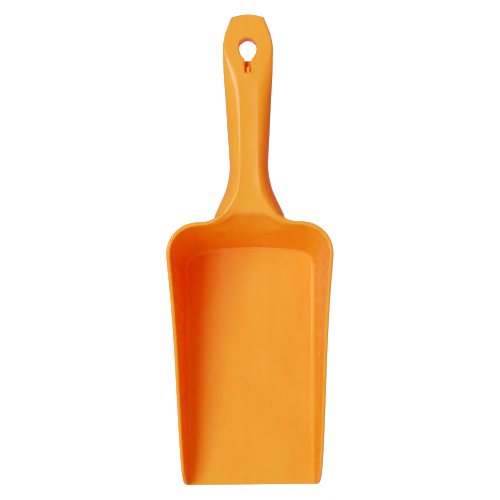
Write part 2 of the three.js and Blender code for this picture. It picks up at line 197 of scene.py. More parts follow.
class Cage:
    """A mesh in the making: points in millimetres and four-sided faces."""

    def __init__(self):
        self.points = []
        self.faces = []

    def add(self, point):
        self.points.append(Vector(point))
        return len(self.points) - 1

    def add_row(self, points):
        return [self.add(point) for point in points]

    def bridge(self, row, other):
        """Faces between two rows of points, one for each step along them."""
        for k in range(len(row) - 1):
            corners = (row[k], row[k + 1], other[k + 1], other[k])
            if None not in corners:
                self.faces.append(corners)

    def bridge_rows(self, rows):
        for row, other in zip(rows, rows[1:]):
            self.bridge(row, other)

    def bridge_loop(self, loop, other):
        self.bridge(loop + loop[:1], other + other[:1])

    def relax(self, chosen, rounds, strength=0.5):
        """Moves the chosen points towards the middle of their neighbours."""
        chosen = set(chosen)
        near = {}
        for face in self.faces:
            for k, index in enumerate(face):
                if index in chosen:
                    near.setdefault(index, set()).update((face[k - 1], face[(k + 1) % 4]))
        for _ in range(rounds):
            moved = {}
            for index, others in near.items():
                middle = sum((self.points[o] for o in others), Vector()) / len(others)
                moved[index] = self.points[index].lerp(middle, strength)
            for index, point in moved.items():
                self.points[index] = point

    def fit(self, rounds):
        """Moves the points out until the smooth surface passes through where they are
        now, instead of cutting inside them."""
        goal = np.array(self.points)
        corners = np.array(self.faces)
        valence = np.bincount(corners.ravel(), minlength=len(goal))[:, None]
        used = valence[:, 0] > 0
        cage = goal.copy()
        for _ in range(rounds):
            beside = np.zeros_like(cage)
            opposite = np.zeros_like(cage)
            for k in range(4):
                here = corners[:, k]
                np.add.at(beside, here, (cage[corners[:, k - 1]] + cage[corners[:, k - 3]]) / 2)
                np.add.at(opposite, here, cage[corners[:, k - 2]])
            # Where Catmull-Clark smoothing takes each point in the end.
            surface = valence ** 2 * cage + 4 * beside + opposite
            surface[used] /= (valence * (valence + 5))[used]
            cage[used] += goal[used] - surface[used]
        self.points = [Vector(point) for point in cage]

    def make(self, name, levels):
        """An object of this cage, in metres, with smooth subdivision applied."""
        mesh = bpy.data.meshes.new(name)
        mesh.from_pydata([point * MM for point in self.points], [], self.faces)
        shape = bmesh.new()
        shape.from_mesh(mesh)
        loose = [vert for vert in shape.verts if not vert.link_faces]
        bmesh.ops.delete(shape, geom=loose, context="VERTS")
        bmesh.ops.recalc_face_normals(shape, faces=shape.faces)
        shape.to_mesh(mesh)
        shape.free()
        piece = bpy.data.objects.new(name, mesh)
        bpy.context.scene.collection.objects.link(piece)
        smooth = piece.modifiers.new("smooth", "SUBSURF")
        smooth.levels = levels
        smooth.render_levels = levels
        ready = piece.evaluated_get(bpy.context.evaluated_depsgraph_get())
        final = bpy.data.meshes.new_from_object(ready)
        piece.modifiers.clear()
        piece.data = final
        final.name = name
        for face in final.polygons:
            face.use_smooth = True
        return piece


def coons(first, last, left, right):
    """A grid of points between four edges. first and last run left to right, and left
    and right run from first to last. The edges share their corner points."""
    rows = []
    down, across = len(left) - 1, len(first) - 1
    for r in range(down + 1):
        v = r / down
        row = []
        for c in range(across + 1):
            u = c / across
            along = first[c].lerp(last[c], v) + left[r].lerp(right[r], u)
            corners = first[0].lerp(first[-1], u).lerp(last[0].lerp(last[-1], u), v)
            row.append(along - corners)
        rows.append(row)
    return rows


# ------------------------------------------------------------------ bowl

Plan = namedtuple("Plan", "half_back half_lip radius bow arc_x arc_y centre_y crown_y")
Station = namedtuple("Station", "kind side step")


def bowl_plan(z, grow):
    """The bowl's outline at height z, moved outwards by grow."""
    rise = z / BOWL_HEIGHT
    spread = (z - FLOOR_THICKNESS) * SIDE_DRAFT + grow
    half_back = FLOOR_HALF_WIDTH_BACK + spread
    back_y = FLOOR_BACK_Y + BACK_WALL_RUN * rise + grow
    radius = lerp(CORNER_RADIUS_FLOOR, CORNER_RADIUS_RIM, rise) + grow
    bow = lerp(BACK_BOW_FLOOR, BACK_BOW_RIM, rise)
    arc_x = half_back - radius + radius * math.sin(bow)
    arc_y = back_y - arc_x * math.tan(bow) / 2
    centre_y = arc_y - radius * math.cos(bow)
    crown_y = arc_y + arc_x * math.tan(bow)
    half_lip = FLOOR_HALF_WIDTH_LIP + spread
    return Plan(half_back, half_lip, radius, bow, arc_x, arc_y, centre_y, crown_y)


def bowl_stations():
    """Places along the wall, from the left side's lip round the back to the right's."""
    left = [Station("side", -1, k) for k in range(SIDE_STEPS + 1)]
    left += [Station("corner", -1, k) for k in range(1, CORNER_STEPS)]
    right = [Station(s.kind, 1, s.step) for s in reversed(left)]
    return left + [Station("back", 0, k) for k in range(BACK_STEPS + 1)] + right


STATIONS = bowl_stations()
BACK_START = SIDE_STEPS + CORNER_STEPS
# The band of back-wall columns that the handle grows from: heights, and half widths there.
NECK_BAND_OUTSIDE = ([0, 30, 52, 62, 72, 80], [25, 21, 17, 22, 27, 29.5])
NECK_BAND_INSIDE = ([0, 50, 70, 80], [24, 22, 22, 27.5])
RIM_YS = [y for y, z in RIM_LINE]
RIM_ZS = [z for y, z in RIM_LINE]


def rim_edge(y):
    """Where the flat of the wall ends below the rim's round, as y and z."""
    span = 0.5
    rise = between(RIM_YS, RIM_ZS, y + span) - between(RIM_YS, RIM_ZS, y - span)
    slope = rise / (2 * span)
    length = math.hypot(1, slope)
    return (
        y + EDGE_ROUND * slope / length,
        between(RIM_YS, RIM_ZS, y) - EDGE_ROUND / length,
    )


def lip_column_y(z):
    """The front edge of a side wall at height z."""
    return between(RIM_ZS[:RIM_FRONT_POINTS], RIM_YS[:RIM_FRONT_POINTS], z) + EDGE_ROUND


def side_column(step, low_z):
    """A column of a side wall: the y and z of its top, and the y of its bottom."""
    along = step / SIDE_STEPS
    top_y, top_z = rim_edge(lerp(RIM_CORNER_Y, bowl_plan(BOWL_HEIGHT, 0).centre_y, along))
    low_y = lerp(LIP_Y + EDGE_ROUND, bowl_plan(low_z, 0).centre_y, along)
    return top_y, top_z, low_y


def side_y(step, z, low_z):
    """How far along a side wall one of its columns is at height z. The first columns
    curve with the wall's front edge, and the last is the start of the corner."""
    top_y, top_z, low_y = side_column(step, low_z)
    up = min(max((z - low_z) / (top_z - low_z), 0), 1)
    straight = lerp(low_y, top_y, up)
    front_top = side_column(0, low_z)[1]
    front_z = lerp(low_z, front_top, up)
    chord = lerp(lip_column_y(low_z), lip_column_y(front_top), up)
    follow = max(0, 1 - step / FRONT_COLUMNS) ** 2
    return straight + follow * (lip_column_y(front_z) - chord)


def back_x(step, z, plan, outside):
    """How far across a column of the back wall is, at height z."""
    half = between(*(NECK_BAND_OUTSIDE if outside else NECK_BAND_INSIDE), z)
    if step in (0, BACK_STEPS):
        x = plan.arc_x
    elif step in (1, BACK_STEPS - 1):
        x = (plan.arc_x + half) / 2
    else:
        x = half * abs(step - BACK_STEPS / 2) / (LAND_STEPS / 2)
    return math.copysign(x, step - BACK_STEPS / 2)


def throat_push(x, z, wall_y):
    """How far back the throat moves the inside of the back wall. The throat is a trough
    that gets shallower to the sides."""
    across = min(abs(x) / THROAT_HALF_WIDTH, THROAT_SIDE_LIMIT)
    middle_z = BOWL_HEIGHT - (BOWL_HEIGHT - z) / (1 - across * across)
    throat_y = THROAT_TOP_Y - (THROAT_TOP_Z - middle_z) / math.tan(THROAT_SLOPE)
    gap = throat_y - wall_y
    return (gap + math.hypot(gap, THROAT_BLEND)) / 2


def wall_point(station, z, grow, low_z):
    """A point of the bowl's wall at a station and height."""
    plan = bowl_plan(z, grow)
    if station.kind == "side":
        y = side_y(station.step, z, low_z)
        if station.step == SIDE_STEPS:
            y = plan.centre_y
        to_lip = (plan.centre_y - y) / (plan.centre_y - LIP_Y)
        return Vector((station.side * lerp(plan.half_back, plan.half_lip, to_lip), y, z))
    if station.kind == "corner":
        angle = (math.pi / 2 - plan.bow) * station.step / CORNER_STEPS
        x = plan.half_back - plan.radius + plan.radius * math.cos(angle)
        return Vector((station.side * x, plan.centre_y + plan.radius * math.sin(angle), z))
    x = back_x(station.step, z, plan, grow > 0)
    t = x / plan.arc_x
    y = plan.arc_y * (1 + t * t) / 2 + plan.crown_y * (1 - t * t) / 2
    if grow <= 0:
        y += throat_push(x, z, y)
    return Vector((x, y, z))


def top_z(station):
    """Height at which the wall's flat ends at a station."""
    if station.kind == "side":
        return side_column(station.step, 0)[1]
    return BOWL_HEIGHT - EDGE_ROUND


def wall_columns(cage, low_z, fillet, rows, wall_at, opening_row):
    """One face of the bowl's wall: a column of points at each station, from the edge of
    the floor up to the rim. Where the handle grows out, the points are left out. wall_at
    gives the face's distance outside the bowl's inner outline at a height."""
    columns = []
    for index, station in enumerate(STATIONS):
        in_neck = NECK_FIRST < index - BACK_START < NECK_LAST
        column = []
        for row in range(TOP_ROW + 1):
            if row < FILLET_ROWS:
                angle = row / FILLET_ROWS * math.pi / 2
                z = low_z + fillet * (1 - math.cos(angle))
                inset = fillet * (1 - math.sin(angle))
            else:
                z = lerp(low_z + fillet, top_z(station), rows[row - FILLET_ROWS])
                inset = 0
            if in_neck and row > opening_row:
                column.append(None)
            else:
                column.append(cage.add(wall_point(station, z, wall_at(z) - inset, low_z)))
        columns.append(column)
    cage.bridge_rows(columns)
    return columns


def floor_grid(cage, columns):
    """The flat floor inside a set of wall columns. Returns the points at the lip."""
    edge = [column[0] for column in columns]
    side = SIDE_STEPS + CORNER_STEPS // 2
    left, back, right = edge[:side + 1], edge[side:-side], edge[::-1][:side + 1]
    place = [[cage.points[i] for i in line] for line in (back, left, right)]
    across = len(back) - 1
    lip = [place[1][0].lerp(place[2][0], k / across) for k in range(across + 1)]
    grid = coons(lip, place[0], place[1], place[2])
    rows = []
    for r, points in enumerate(grid):
        if r == side:
            rows.append(back)
        else:
            rows.append([left[r], *cage.add_row(points[1:-1]), right[r]])
    cage.bridge_rows(rows)
    return rows[0]


def rounded_edge(cage, pairs):
    """The round along the rim and the lip. pairs are matching inner and outer points in
    order, each with a point further down the inner face. Returns each pair's arc."""
    middles = [(cage.points[a] + cage.points[b]) / 2 for a, b, _ in pairs]
    arcs = []
    for k, (inner, outer, below) in enumerate(pairs):
        before = middles[max(k - 1, 0)]
        after = middles[min(k + 1, len(pairs) - 1)]
        half = (cage.points[outer] - cage.points[inner]) / 2
        away = (after - before).cross(half).normalized()
        if away.dot(middles[k] - cage.points[below]) < 0:
            away.negate()
        arc = [inner]
        for step in range(1, EDGE_STEPS):
            angle = step / EDGE_STEPS * math.pi
            bulge = away * EDGE_ROUND * math.sin(angle)
            arc.append(cage.add(middles[k] - half * math.cos(angle) + bulge))
        arcs.append(arc + [outer])
    cage.bridge_rows(arcs)
    return arcs


def make_bowl(cage):
    """The bowl, with an opening in its back wall for the neck. Returns the opening's
    edge as a loop: along the inside from left to right, over the rim on the right,
    back along the outside, and over the rim on the left."""
    def outer_wall(z):
        return lerp(WALL_AT_FLOOR, WALL_AT_RIM, z / BOWL_HEIGHT)

    inner = wall_columns(cage, FLOOR_THICKNESS, INNER_FILLET, INNER_ROWS,
                         lambda z: 0, NECK_ROW_INSIDE)
    outer = wall_columns(cage, 0, OUTER_FILLET, OUTER_ROWS, outer_wall, NECK_ROW_OUTSIDE)
    inner_lip = floor_grid(cage, inner)
    outer_lip = floor_grid(cage, outer)

    left_neck = BACK_START + NECK_FIRST
    right_neck = BACK_START + NECK_LAST
    behind_lip = len(inner_lip)
    pairs = []
    for c in range(left_neck, -1, -1):
        pairs.append((inner[c][TOP_ROW], outer[c][TOP_ROW], inner[c][TOP_ROW - 1]))
    for r in range(TOP_ROW - 1, 0, -1):
        pairs.append((inner[0][r], outer[0][r], inner[1][r]))
    for k in range(behind_lip):
        pairs.append((inner_lip[k], outer_lip[k], inner[BACK_START][0]))
    for r in range(1, TOP_ROW):
        pairs.append((inner[-1][r], outer[-1][r], inner[-2][r]))
    for c in range(len(STATIONS) - 1, right_neck - 1, -1):
        pairs.append((inner[c][TOP_ROW], outer[c][TOP_ROW], inner[c][TOP_ROW - 1]))
    arcs = rounded_edge(cage, pairs)

    loop = [inner[c][NECK_ROW_INSIDE] for c in range(left_neck, right_neck + 1)]
    loop += [inner[right_neck][r] for r in range(NECK_ROW_INSIDE + 1, TOP_ROW)]
    loop += arcs[-1]
    loop += [outer[right_neck][r] for r in range(TOP_ROW - 1, NECK_ROW_OUTSIDE, -1)]
    loop += [outer[c][NECK_ROW_OUTSIDE] for c in range(right_neck, left_neck - 1, -1)]
    loop += [outer[left_neck][r] for r in range(NECK_ROW_OUTSIDE + 1, TOP_ROW)]
    loop += arcs[0][::-1]
    loop += [inner[left_neck][r] for r in range(TOP_ROW - 1, NECK_ROW_INSIDE, -1)]
    return loop


# ------------------------------------------------------------------ handle

HANDLE_YS = [section.y for section in HANDLE]
# Steps round each side of the neck's opening: up the inside, over the rim and down the
# outside. Every ring of the handle has as many between its top and its bottom.
SIDE_RUN = TOP_ROW - NECK_ROW_INSIDE + EDGE_STEPS + TOP_ROW - NECK_ROW_OUTSIDE
RIDGE_MARKS = [0.88, 0.97]
FLANK_ANGLES = [0, 12, 22, 33, 48, 63, 82]
UNDER_ANGLES = [12, 32]
BOTTOM_CORNER_ANGLE = 50
LAND_SHARE = 0.8

NECK_END_TOP_Y = 38
NECK_END_SIDE_Y = 33.6
NECK_END_STEPS = 4
NECK_END_SPAN = 0.5
NECK_RINGS = 6
NECK_RINGS_EASED = 4
NECK_RELAX_ROUNDS = 3
# How strongly the neck's curves follow the bowl where they leave it, and the handle where
# they reach it.
THROAT_PULL = (1.2, 1.5)
RIM_PULL = (0.7, 1.3)
UNDERSIDE_PULL = (0.7, 0.9)
GRIP_RING_YS = [44, 50, 56, 62, 68, 74, 80, 86, 92, 98, 104, 109.5, 114.5]
NOTCH_RING_YS = [119.2, 121.6, 124]
HOLE_RING_YS = [126.2, 128.8, 131.2, 133.6, 136, 138.6, 141.6]
TIP_RING_YS = [144.2, 146.8, 149.2, 151.2, 152.8, 154, 154.6]
TIP_BEND_START_Y = 141.6
TIP_BEND_FULL_Y = 152.8
# The round of the tip: how far each ring is drawn in, and how far back from the end it is.
TIP_ROUND = [(0.12, 0.12), (0.5, 0), (1.4, 0)]
HOLE_COLUMNS = range(3, 10)
NOTCH_COLUMNS = range(5, 8)
RINGS_EASED_PAST_HOLE = 3
LAND_RELAX_ROUNDS = 6


def section_at(y):
    values = [between(HANDLE_YS, [s[i] for s in HANDLE], y) for i in range(1, len(Section._fields))]
    return Section(y, *values)


def land_point(section, x):
    """Top of the handle between the ridges."""
    across = x / section.ridge_half
    return Vector((x, section.y, section.top - section.dish * (1 - across * across)))


def flank_point(section, degrees):
    """Side of the handle, from the ridge at 0 to the widest point at 90. It is straighter
    near the bowl than it is near the tab."""
    angle = math.radians(degrees)
    power = 2 / between(FLANK_YS, FLANK_EXPONENTS, section.y)
    x = lerp(section.ridge_half, section.half_width, math.sin(angle) ** power)
    z = section.top - section.drop * (1 - math.cos(angle) ** power)
    return Vector((x, section.y, z))


def under_point(section, degrees):
    """Underside, from the widest point at 0 to the middle at 90."""
    angle = math.radians(degrees)
    power = 2 / UNDERSIDE_EXPONENT
    widest_z = section.top - section.drop
    x = section.half_width * max(math.cos(angle), 0) ** power
    z = widest_z - (widest_z - section.bottom) * math.sin(angle) ** power
    return Vector((x, section.y, z))


def underside_z(section, x):
    """Height of the underside at x."""
    widest_z = section.top - section.drop
    share = min(abs(x) / section.half_width, 1) ** UNDERSIDE_EXPONENT
    return widest_z - (widest_z - section.bottom) * (1 - share) ** (1 / UNDERSIDE_EXPONENT)


def mirrored(point):
    return Vector((-point.x, point.y, point.z))


def handle_ring(y):
    """Points round the handle at y, in the order of the neck opening's loop."""
    section = section_at(y)
    reach = section.ridge_half * LAND_SHARE
    top = [land_point(section, reach * (2 * k / LAND_STEPS - 1)) for k in range(LAND_STEPS + 1)]
    side = [land_point(section, section.ridge_half * mark) for mark in RIDGE_MARKS]
    side += [flank_point(section, angle) for angle in FLANK_ANGLES]
    side += [under_point(section, angle) for angle in UNDER_ANGLES]
    half = LAND_STEPS // 2
    under = [
        under_point(section, lerp(BOTTOM_CORNER_ANGLE, 90, k / half)) for k in range(half + 1)
    ]
    bottom = under + [mirrored(point) for point in under[-2::-1]]
    left = [mirrored(point) for point in reversed(side)]
    return top + side + bottom + left


def bottom_index(column):
    """Place in a ring of the point under the top one of a column. Columns count from the
    left, and a column's number is also the top point's place in the ring."""
    return 2 * LAND_STEPS + SIDE_RUN - column


def into_opening(cage, loop):
    """The direction in which the surface round an opening runs on into it, at each point
    of the opening's edge."""
    on_loop = set(loop)
    outside = {index: set() for index in loop}
    for face in cage.faces:
        for k, index in enumerate(face):
            if index in on_loop:
                outside[index].update({face[k - 1], face[k - 3]} - on_loop)
    directions = []
    for index in loop:
        here = cage.points[index]
        away = [(here - cage.points[other]).normalized() for other in outside[index]]
        directions.append(sum(away, Vector()).normalized())
    return directions


def neck_pull(k):
    """The two pulls of the neck's curve at place k round the opening."""
    bottom_right = LAND_STEPS + SIDE_RUN
    bottom_left = bottom_right + LAND_STEPS
    if k <= LAND_STEPS:
        share = abs(2 * k / LAND_STEPS - 1)
        first, second = THROAT_PULL, RIM_PULL
    elif bottom_right <= k <= bottom_left:
        return UNDERSIDE_PULL
    else:
        steps = k - LAND_STEPS if k < bottom_right else bottom_left + SIDE_RUN - k
        share = (steps / SIDE_RUN) ** 2
        first, second = RIM_PULL, UNDERSIDE_PULL
    return lerp(first[0], second[0], share), lerp(first[1], second[1], share)


def neck_end(beyond):
    """Points round the neck's end, or a little beyond it. The land starts further along
    the handle than the flanks and the underside do."""
    ends = []
    count = len(handle_ring(NECK_END_TOP_Y))
    for k in range(count):
        steps = min(max(k - LAND_STEPS, 0), count - k)
        share = min(steps / NECK_END_STEPS, 1)
        y = lerp(NECK_END_TOP_Y, NECK_END_SIDE_Y, share) + beyond
        ends.append(handle_ring(y)[k])
    return ends


def make_neck(cage, loop):
    """The neck: smooth curves from the opening's edge to the handle's first section.
    Returns the ring that they end on."""
    start = [cage.points[i] for i in loop]
    end = neck_end(0)
    beyond = neck_end(NECK_END_SPAN)
    leaving = into_opening(cage, loop)
    rings = [loop]
    for ring in range(1, NECK_RINGS + 1):
        t = ring / NECK_RINGS
        points = []
        for k, (a, b, c) in enumerate(zip(start, end, beyond)):
            distance = (b - a).length
            leave, arrive = neck_pull(k)
            points.append(
                a * (2 * t ** 3 - 3 * t ** 2 + 1)
                + leaving[k] * leave * distance * (t ** 3 - 2 * t ** 2 + t)
                + b * (3 * t ** 2 - 2 * t ** 3)
                + (c - b).normalized() * arrive * distance * (t ** 3 - t ** 2)
            )
        rings.append(cage.add_row(points))
    for ring, other in zip(rings, rings[1:]):
        cage.bridge_loop(ring, other)
    near_ridges = [*range(-2, 3), *range(LAND_STEPS - 2, LAND_STEPS + 3)]
    eased = [ring[k] for ring in rings[:NECK_RINGS_EASED] for k in near_ridges]
    cage.relax(eased, NECK_RELAX_ROUNDS)
    return rings[-1]


def bent_ring(y):
    """Points round the handle at y. Towards the tip the ring bends back at its sides,
    until it follows the arc of the handle's end."""
    bend = min(max((y - TIP_BEND_START_Y) / (TIP_BEND_FULL_Y - TIP_BEND_START_Y), 0), 1)
    ring = handle_ring(y)
    if bend == 0:
        return ring
    bent = []
    for k, point in enumerate(ring):
        depth = TIP_ARC_RADIUS - math.sqrt(TIP_ARC_RADIUS ** 2 - point.x ** 2)
        bent.append(handle_ring(y - depth * bend)[k])
    return bent


def egg_point(side, up, grow):
    """Point of the hanging hole's outline for a place on a square from -1 to 1."""
    length = math.hypot(side, up)
    reach = (HOLE_HEAD if up > 0 else HOLE_TAIL) + grow
    x = (HOLE_HALF_WIDTH + grow) * side / length
    return x, HOLE_CENTRE_Y + reach * up / length


def mouth_point(side, grow):
    """Where the notch runs into the hanging hole: its side at -1 or 1, or its middle."""
    x = NOTCH_HALF_WIDTH + grow
    across = x / (HOLE_HALF_WIDTH + grow)
    return side * x, HOLE_CENTRE_Y - (HOLE_TAIL + grow) * math.sqrt(1 - across ** 2)


def make_handle(cage, neck_ring):
    """The grip and the tab, with the hanging hole and the notch."""
    grip_ys = GRIP_RING_YS + NOTCH_RING_YS + HOLE_RING_YS + TIP_RING_YS
    rings = [neck_ring]
    for y in grip_ys:
        rings.append(cage.add_row(bent_ring(y)))
    for inset, back in TIP_ROUND:
        section = bent_ring(TIP_Y - back)
        centre = sum(section, Vector()) / len(section)
        spokes = [((point - centre) * Vector((1, 0, 1))).normalized() for point in section]
        rings.append(cage.add_row(p - spoke * inset for p, spoke in zip(section, spokes)))

    first_notch = 1 + len(GRIP_RING_YS)
    first_hole = first_notch + len(NOTCH_RING_YS)
    last_hole = first_hole + len(HOLE_RING_YS) - 1
    for r, (ring, other) in enumerate(zip(rings, rings[1:])):
        open_steps = set()
        if first_notch <= r < first_hole:
            open_steps.update(NOTCH_COLUMNS[:-1])
        if first_hole <= r < last_hole:
            open_steps.update(HOLE_COLUMNS[:-1])
            open_steps.update(bottom_index(column) for column in HOLE_COLUMNS[1:])
        for k in range(len(ring)):
            if k not in open_steps:
                after = (k + 1) % len(ring)
                cage.faces.append((ring[k], ring[after], other[after], other[k]))
    make_tip(cage, rings[-1])
    make_hole(cage, rings, first_notch, first_hole, last_hole)


def make_tip(cage, ring):
    """The end of the handle, closed over the last ring."""
    right = ring[LAND_STEPS:LAND_STEPS + SIDE_RUN + 1]
    left = ring[:1] + ring[:-SIDE_RUN - 1:-1]
    top = ring[:LAND_STEPS + 1]
    bottom = [ring[bottom_index(column)] for column in range(LAND_STEPS + 1)]
    place = [[cage.points[i] for i in line] for line in (top, bottom, left, right)]
    rows = [top]
    for r, points in enumerate(coons(*place)[1:-1], start=1):
        rows.append([left[r], *cage.add_row(points[1:-1]), right[r]])
    rows.append(bottom)
    cage.bridge_rows(rows)


def make_hole(cage, rings, first_notch, first_hole, last_hole):
    """The hanging hole through the tab, and the notch that opens into it."""
    low, high = HOLE_COLUMNS[0], HOLE_COLUMNS[-1]
    notch_left, notch_mid, notch_right = NOTCH_COLUMNS

    outline = [(first_hole, c) for c in range(notch_left, low, -1)]
    outline += [(r, low) for r in range(first_hole, last_hole)]
    outline += [(last_hole, c) for c in range(low, high)]
    outline += [(r, high) for r in range(last_hole, first_hole, -1)]
    outline += [(first_hole, c) for c in range(high, notch_right - 1, -1)]
    notch = [(r, notch_right) for r in range(first_hole - 1, first_notch, -1)]
    notch += [(first_notch, c) for c in (notch_right, notch_mid, notch_left)]
    notch += [(r, notch_left) for r in range(first_notch + 1, first_hole)]
    mouth = (first_hole, notch_mid)
    mouth_corners = ((first_hole, notch_left), (first_hole, notch_right))

    def place(cell, grow, z):
        r, c = cell
        if cell in notch:
            x = (c - notch_mid) * (NOTCH_HALF_WIDTH + grow)
            y = cage.points[rings[r][c]].y
            if r == first_notch:
                y = NOTCH_START_Y - grow
                x *= NOTCH_END_SHARE
            return Vector((x, y, z))
        middle_r = (first_hole + last_hole) / 2
        up = (r - middle_r) / (last_hole - middle_r)
        side = (c - notch_mid) / (high - notch_mid)
        if cell == mouth or cell in mouth_corners:
            x, y = mouth_point(c - notch_mid, grow)
        else:
            x, y = egg_point(side, up, grow)
        return Vector((x, y, z))

    keyhole = outline + notch
    top_loop = [rings[r][c] for r, c in keyhole]
    for cell, index in zip(keyhole, top_loop):
        cage.points[index] = place(cell, HOLE_EDGE[0][0], TAB_TOP)
    loops = [top_loop]
    for grow, depth in HOLE_EDGE[1:]:
        loops.append(cage.add_row(place(cell, grow, TAB_TOP - depth) for cell in keyhole))
    loops.append(cage.add_row(place(cell, 0, NOTCH_FLOOR_Z) for cell in keyhole))
    for loop, other in zip(loops, loops[1:]):
        cage.bridge_loop(loop, other)

    at_floor = dict(zip(keyhole, loops[-1]))
    at_floor[mouth] = cage.add(place(mouth, 0, NOTCH_FLOOR_Z))
    floor_rows = []
    for r in range(first_notch, first_hole + 1):
        row = []
        for c in NOTCH_COLUMNS:
            if (r, c) not in at_floor:
                y = cage.points[rings[r][c]].y
                at_floor[r, c] = cage.add(Vector((0, y, NOTCH_FLOOR_Z)))
            row.append(at_floor[r, c])
        floor_rows.append(row)
    cage.bridge_rows(floor_rows)

    def on_underside(cell, grow, lift):
        spot = place(cell, grow, 0)
        return Vector((spot.x, spot.y, underside_z(section_at(spot.y), spot.x) + lift))

    hole = outline + [mouth]
    below = [rings[r][bottom_index(c)] for r, c in hole]
    for cell, index in zip(hole, below):
        cage.points[index] = on_underside(cell, HOLE_EDGE_BELOW[-1][0], 0)
    wall = [at_floor[cell] for cell in hole]
    for grow, lift in HOLE_EDGE_BELOW[:-1]:
        row = cage.add_row(on_underside(cell, grow, lift) for cell in hole)
        cage.bridge_loop(wall, row)
        wall = row
    cage.bridge_loop(wall, below)

    fixed = set(keyhole) | {mouth}
    around = [
        rings[r][c]
        for r in range(first_notch, last_hole + RINGS_EASED_PAST_HOLE)
        for c in range(1, LAND_STEPS)
        if (r, c) not in fixed
    ]
    cage.relax(around, LAND_RELAX_ROUNDS)
    for index in around:
        point = cage.points[index]
        cage.points[index] = land_point(section_at(point.y), point.x)


def make_moulding():
    cage = Cage()
    loop = make_bowl(cage)
    make_handle(cage, make_neck(cage, loop))
    cage.fit(FIT_ROUNDS)
    piece = cage.make("moulded_scoop", SMOOTH_LEVELS)
    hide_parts("scoop_moulding")
    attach(piece, "root")
    return piece


# ------------------------------------------------------------------ plug

PLUG_CLEARANCE = 0.3
PLUG_HEAD_START_Y = NOTCH_START_Y + PLUG_CLEARANCE
PLUG_Z = 86.2
# Outline of the plug, as distance along it from the head's foot, and radius: the shank
# with its lead-in and grip ring, the head with a collar, a groove and a domed end.
PLUG_OUTLINE = [
    (-6, 0.7), (-5.7, 1), (-5.4, 1.1), (-4.2, 1.1), (-3.9, 1.2), (-3.5, 1.2), (-3.2, 1.1),
    (-0.3, 1.1), (0, 1.2), (0, 1.45), (0.15, 1.6), (0.9, 1.6), (1.05, 1.5), (1.25, 1.42),
    (1.45, 1.5), (1.6, 1.58), (3.2, 1.56), (3.5, 1.42), (3.75, 1.1), (3.92, 0.65), (4, 0.25),
]
PLUG_FACETS = 40


def make_plug():
    """The turned plug that closes the gas channel, its axis along the handle."""
    verts = []
    for along, radius in PLUG_OUTLINE:
        for k in range(PLUG_FACETS):
            angle = 2 * math.pi * k / PLUG_FACETS
            x = radius * math.cos(angle)
            z = PLUG_Z + radius * math.sin(angle)
            verts.append((x, PLUG_HEAD_START_Y + along, z))
    faces = []
    for near in range(0, len(verts) - PLUG_FACETS, PLUG_FACETS):
        far = near + PLUG_FACETS
        for k in range(PLUG_FACETS):
            after = (k + 1) % PLUG_FACETS
            faces.append((near + k, far + k, far + after, near + after))
    faces.append(range(PLUG_FACETS))
    faces.append(range(len(verts) - 1, len(verts) - 1 - PLUG_FACETS, -1))
    mesh = bpy.data.meshes.new("gas_channel_plug_piece")
    mesh.from_pydata([Vector(v) * MM for v in verts], [], faces)
    mesh.shade_smooth()
    piece = bpy.data.objects.new("gas_channel_plug_piece", mesh)
    bpy.context.scene.collection.objects.link(piece)
    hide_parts("gas_channel_plug")
    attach(piece, "root")
    return piece


# ------------------------------------------------------------------ camera, light, stage

CAMERA_HEIGHT = 713
CAMERA_X = 0.15
CAMERA_Y = 10.05
CAMERA_ROLL = math.radians(-0.55)
LENS = 72.9
SENSOR_WIDTH = 36

# Softboxes, by how far they lean from straight above to the right and towards the tab,
# their width and their power. One is the key light, the other fills in from the lip.
Softbox = namedtuple("Softbox", "tilt_x tilt_y size power")
KEY_BOX = Softbox(math.radians(-26), math.radians(4.5), 440, 10.1)
FILL_BOX = Softbox(math.radians(-15), math.radians(-58), 600, 1.6)
LIT_POINT = (0, 0, 40)
LIGHT_DISTANCE = 1100
TENT_STRENGTH = 0.27
# The floor is a hair below the scoop, so that the two surfaces stay apart.
FLOOR_Z = -0.1
STAGE_RADIUS = 3000
STAGE_HEIGHT = 3000
STAGE_FACETS = 48
STAGE_SHADE = 0.2
STAGE_ROUGHNESS = 0.9
STAGE_GLOW = 1.4

# Tones of the picture, as light in the scene and light in the picture, for red, green and
# blue. The reds roll off early, as a camera's do on a bright orange.
TONE_WHITE = 2
TONES = [
    [(0, 0), (0.18, 0.45), (0.33, 0.63), (0.45, 0.7), (0.55, 0.74), (0.7, 0.79), (0.85, 0.83),
     (0.95, 0.855), (1.1, 0.9), (1.25, 0.97), (1.35, 1), (2, 1)],
    [(0, 0), (0.04, 0.02), (0.06, 0.05), (0.115, 0.122), (0.15, 0.18), (0.2, 0.25),
     (0.29, 0.37), (0.4, 0.46), (0.6, 0.65), (1, 1), (2, 1)],
    [(0, 0), (0.015, 0.001), (0.04, 0.03), (0.08, 0.075), (0.2, 0.2), (1, 1), (2, 1)],
]


def make_camera():
    data = bpy.data.cameras.new("camera")
    data.lens = LENS
    data.sensor_width = SENSOR_WIDTH
    camera = bpy.data.objects.new("camera", data)
    camera.location = Vector((CAMERA_X, CAMERA_Y, CAMERA_HEIGHT)) * MM
    camera.rotation_euler = (0, 0, CAMERA_ROLL)
    bpy.context.scene.collection.objects.link(camera)
    bpy.context.scene.camera = camera


def make_softbox(name, box):
    """A square softbox above the scoop, turned to its middle."""
    data = bpy.data.lights.new(name, "AREA")
    data.shape = "SQUARE"
    data.size = box.size * MM
    data.energy = box.power
    light = bpy.data.objects.new(name, data)
    towards = Vector((math.tan(box.tilt_x), math.tan(box.tilt_y), 1)).normalized()
    light.location = (Vector(LIT_POINT) + towards * LIGHT_DISTANCE) * MM
    light.rotation_euler = towards.to_track_quat("Z", "Y").to_euler()
    bpy.context.scene.collection.objects.link(light)


